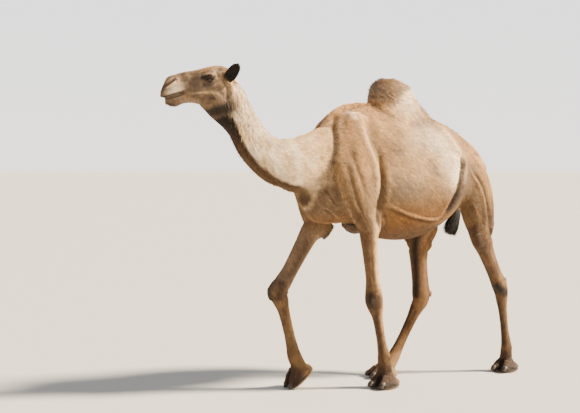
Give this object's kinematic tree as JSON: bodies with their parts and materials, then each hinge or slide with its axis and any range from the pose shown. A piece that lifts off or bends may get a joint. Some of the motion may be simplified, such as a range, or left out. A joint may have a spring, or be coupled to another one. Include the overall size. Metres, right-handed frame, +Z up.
{
  "type": "dromedary camel model",
  "caption": "Life-size still model of a walking one-humped camel, head turned a little to its right and one forefoot rising.",
  "frame": {"origin": "middle of the underside of the model's box, on the floor", "axes": "+Z up, -Y the way the camel walks, +X the camel's left side"},
  "size_m": [0.773, 2.5384, 2.068],
  "materials": {
    "coat": "short sandy fawn hair over skin, paler on neck and shoulder, browner on belly and legs",
    "dark_hair": "brown-black hair of the ears and the tail tuft",
    "callus": "bare horny skin of the breast pad",
    "nail": "dull dark horn",
    "eyeball": "wet dark brown eye"
  },
  "bodies": {
    "root": {"breast_pad": "callus", "head": "coat", "hump": "coat", "left_ear": "dark_hair", "left_eye": "eyeball", "left_fore_cannon": "coat", "left_fore_foot": "coat", "left_fore_forearm": "coat", "left_fore_nail_left": "nail", "left_fore_nail_right": "nail", "left_fore_shoulder": "coat", "left_hind_cannon": "coat", "left_hind_foot": "coat", "left_hind_gaskin": "coat", "left_hind_nail_left": "nail", "left_hind_nail_right": "nail", "left_hind_thigh": "coat", "neck_lower": "coat", "neck_upper": "coat", "right_ear": "dark_hair", "right_eye": "eyeball", "right_fore_cannon": "coat", "right_fore_foot": "coat", "right_fore_forearm": "coat", "right_fore_nail_left": "nail", "right_fore_nail_right": "nail", "right_fore_shoulder": "coat", "right_hind_cannon": "coat", "right_hind_foot": "coat", "right_hind_gaskin": "coat", "right_hind_nail_left": "nail", "right_hind_nail_right": "nail", "right_hind_thigh": "coat", "tail": "coat", "tail_tuft": "dark_hair", "trunk": "coat"}
  },
  "joints": []
}
